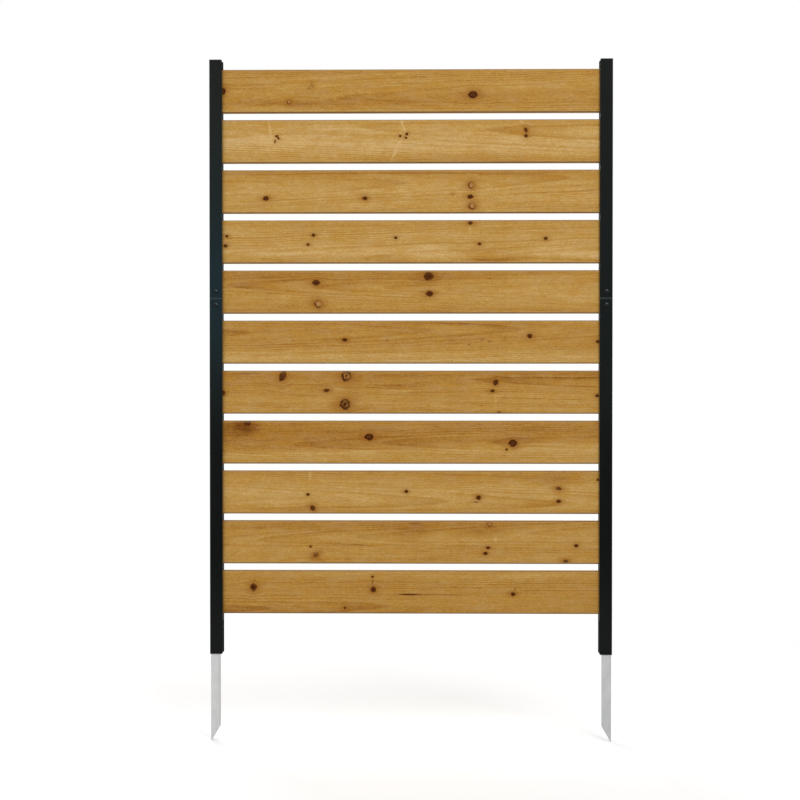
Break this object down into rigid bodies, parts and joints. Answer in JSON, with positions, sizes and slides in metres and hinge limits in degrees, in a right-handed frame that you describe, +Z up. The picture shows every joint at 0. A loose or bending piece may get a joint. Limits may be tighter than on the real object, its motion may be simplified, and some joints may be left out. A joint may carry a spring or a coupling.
{
  "type": "garden privacy screen",
  "caption": "Slatted wooden privacy screen: horizontal boards with narrow gaps in two black channel posts on pointed galvanised ground stakes.",
  "frame": {"origin": "midway between the two posts, in the middle of their depth, at the ground line where the posts end", "axes": "+X across the screen to the viewer's right, +Y from the front to the back, +Z up; the front faces -Y"},
  "size_m": [0.914, 0.034, 1.548],
  "materials": {
    "stained_fir": "satin",
    "black_steel": "satin powder coat",
    "black_screw": "satin black",
    "galvanised_steel": "dull zinc",
    "spacer_plastic": "matte"
  },
  "bodies": {
    "root": {"slat_01": "stained_fir", "slat_02": "stained_fir", "slat_03": "stained_fir", "slat_04": "stained_fir", "slat_05": "stained_fir", "slat_06": "stained_fir", "slat_07": "stained_fir", "slat_08": "stained_fir", "slat_09": "stained_fir", "slat_10": "stained_fir", "slat_11": "stained_fir", "left_slat_spacer_01": "spacer_plastic", "left_slat_spacer_02": "spacer_plastic", "left_slat_spacer_03": "spacer_plastic", "left_slat_spacer_04": "spacer_plastic", "left_slat_spacer_05": "spacer_plastic", "left_slat_spacer_06": "spacer_plastic", "left_slat_spacer_07": "spacer_plastic", "left_slat_spacer_08": "spacer_plastic", "left_slat_spacer_09": "spacer_plastic", "left_slat_spacer_10": "spacer_plastic", "left_slat_spacer_11": "spacer_plastic", "right_slat_spacer_01": "spacer_plastic", "right_slat_spacer_02": "spacer_plastic", "right_slat_spacer_03": "spacer_plastic", "right_slat_spacer_04": "spacer_plastic", "right_slat_spacer_05": "spacer_plastic", "right_slat_spacer_06": "spacer_plastic", "right_slat_spacer_07": "spacer_plastic", "right_slat_spacer_08": "spacer_plastic", "right_slat_spacer_09": "spacer_plastic", "right_slat_spacer_10": "spacer_plastic", "right_slat_spacer_11": "spacer_plastic", "left_post_upper": "black_steel", "left_post_lower": "black_steel", "right_post_upper": "black_steel", "right_post_lower": "black_steel", "left_post_splice": "black_steel", "right_post_splice": "black_steel", "splice_screws": "black_screw", "stake_screws": "black_screw", "left_ground_stake": "galvanised_steel", "right_ground_stake": "galvanised_steel"}
  },
  "joints": []
}
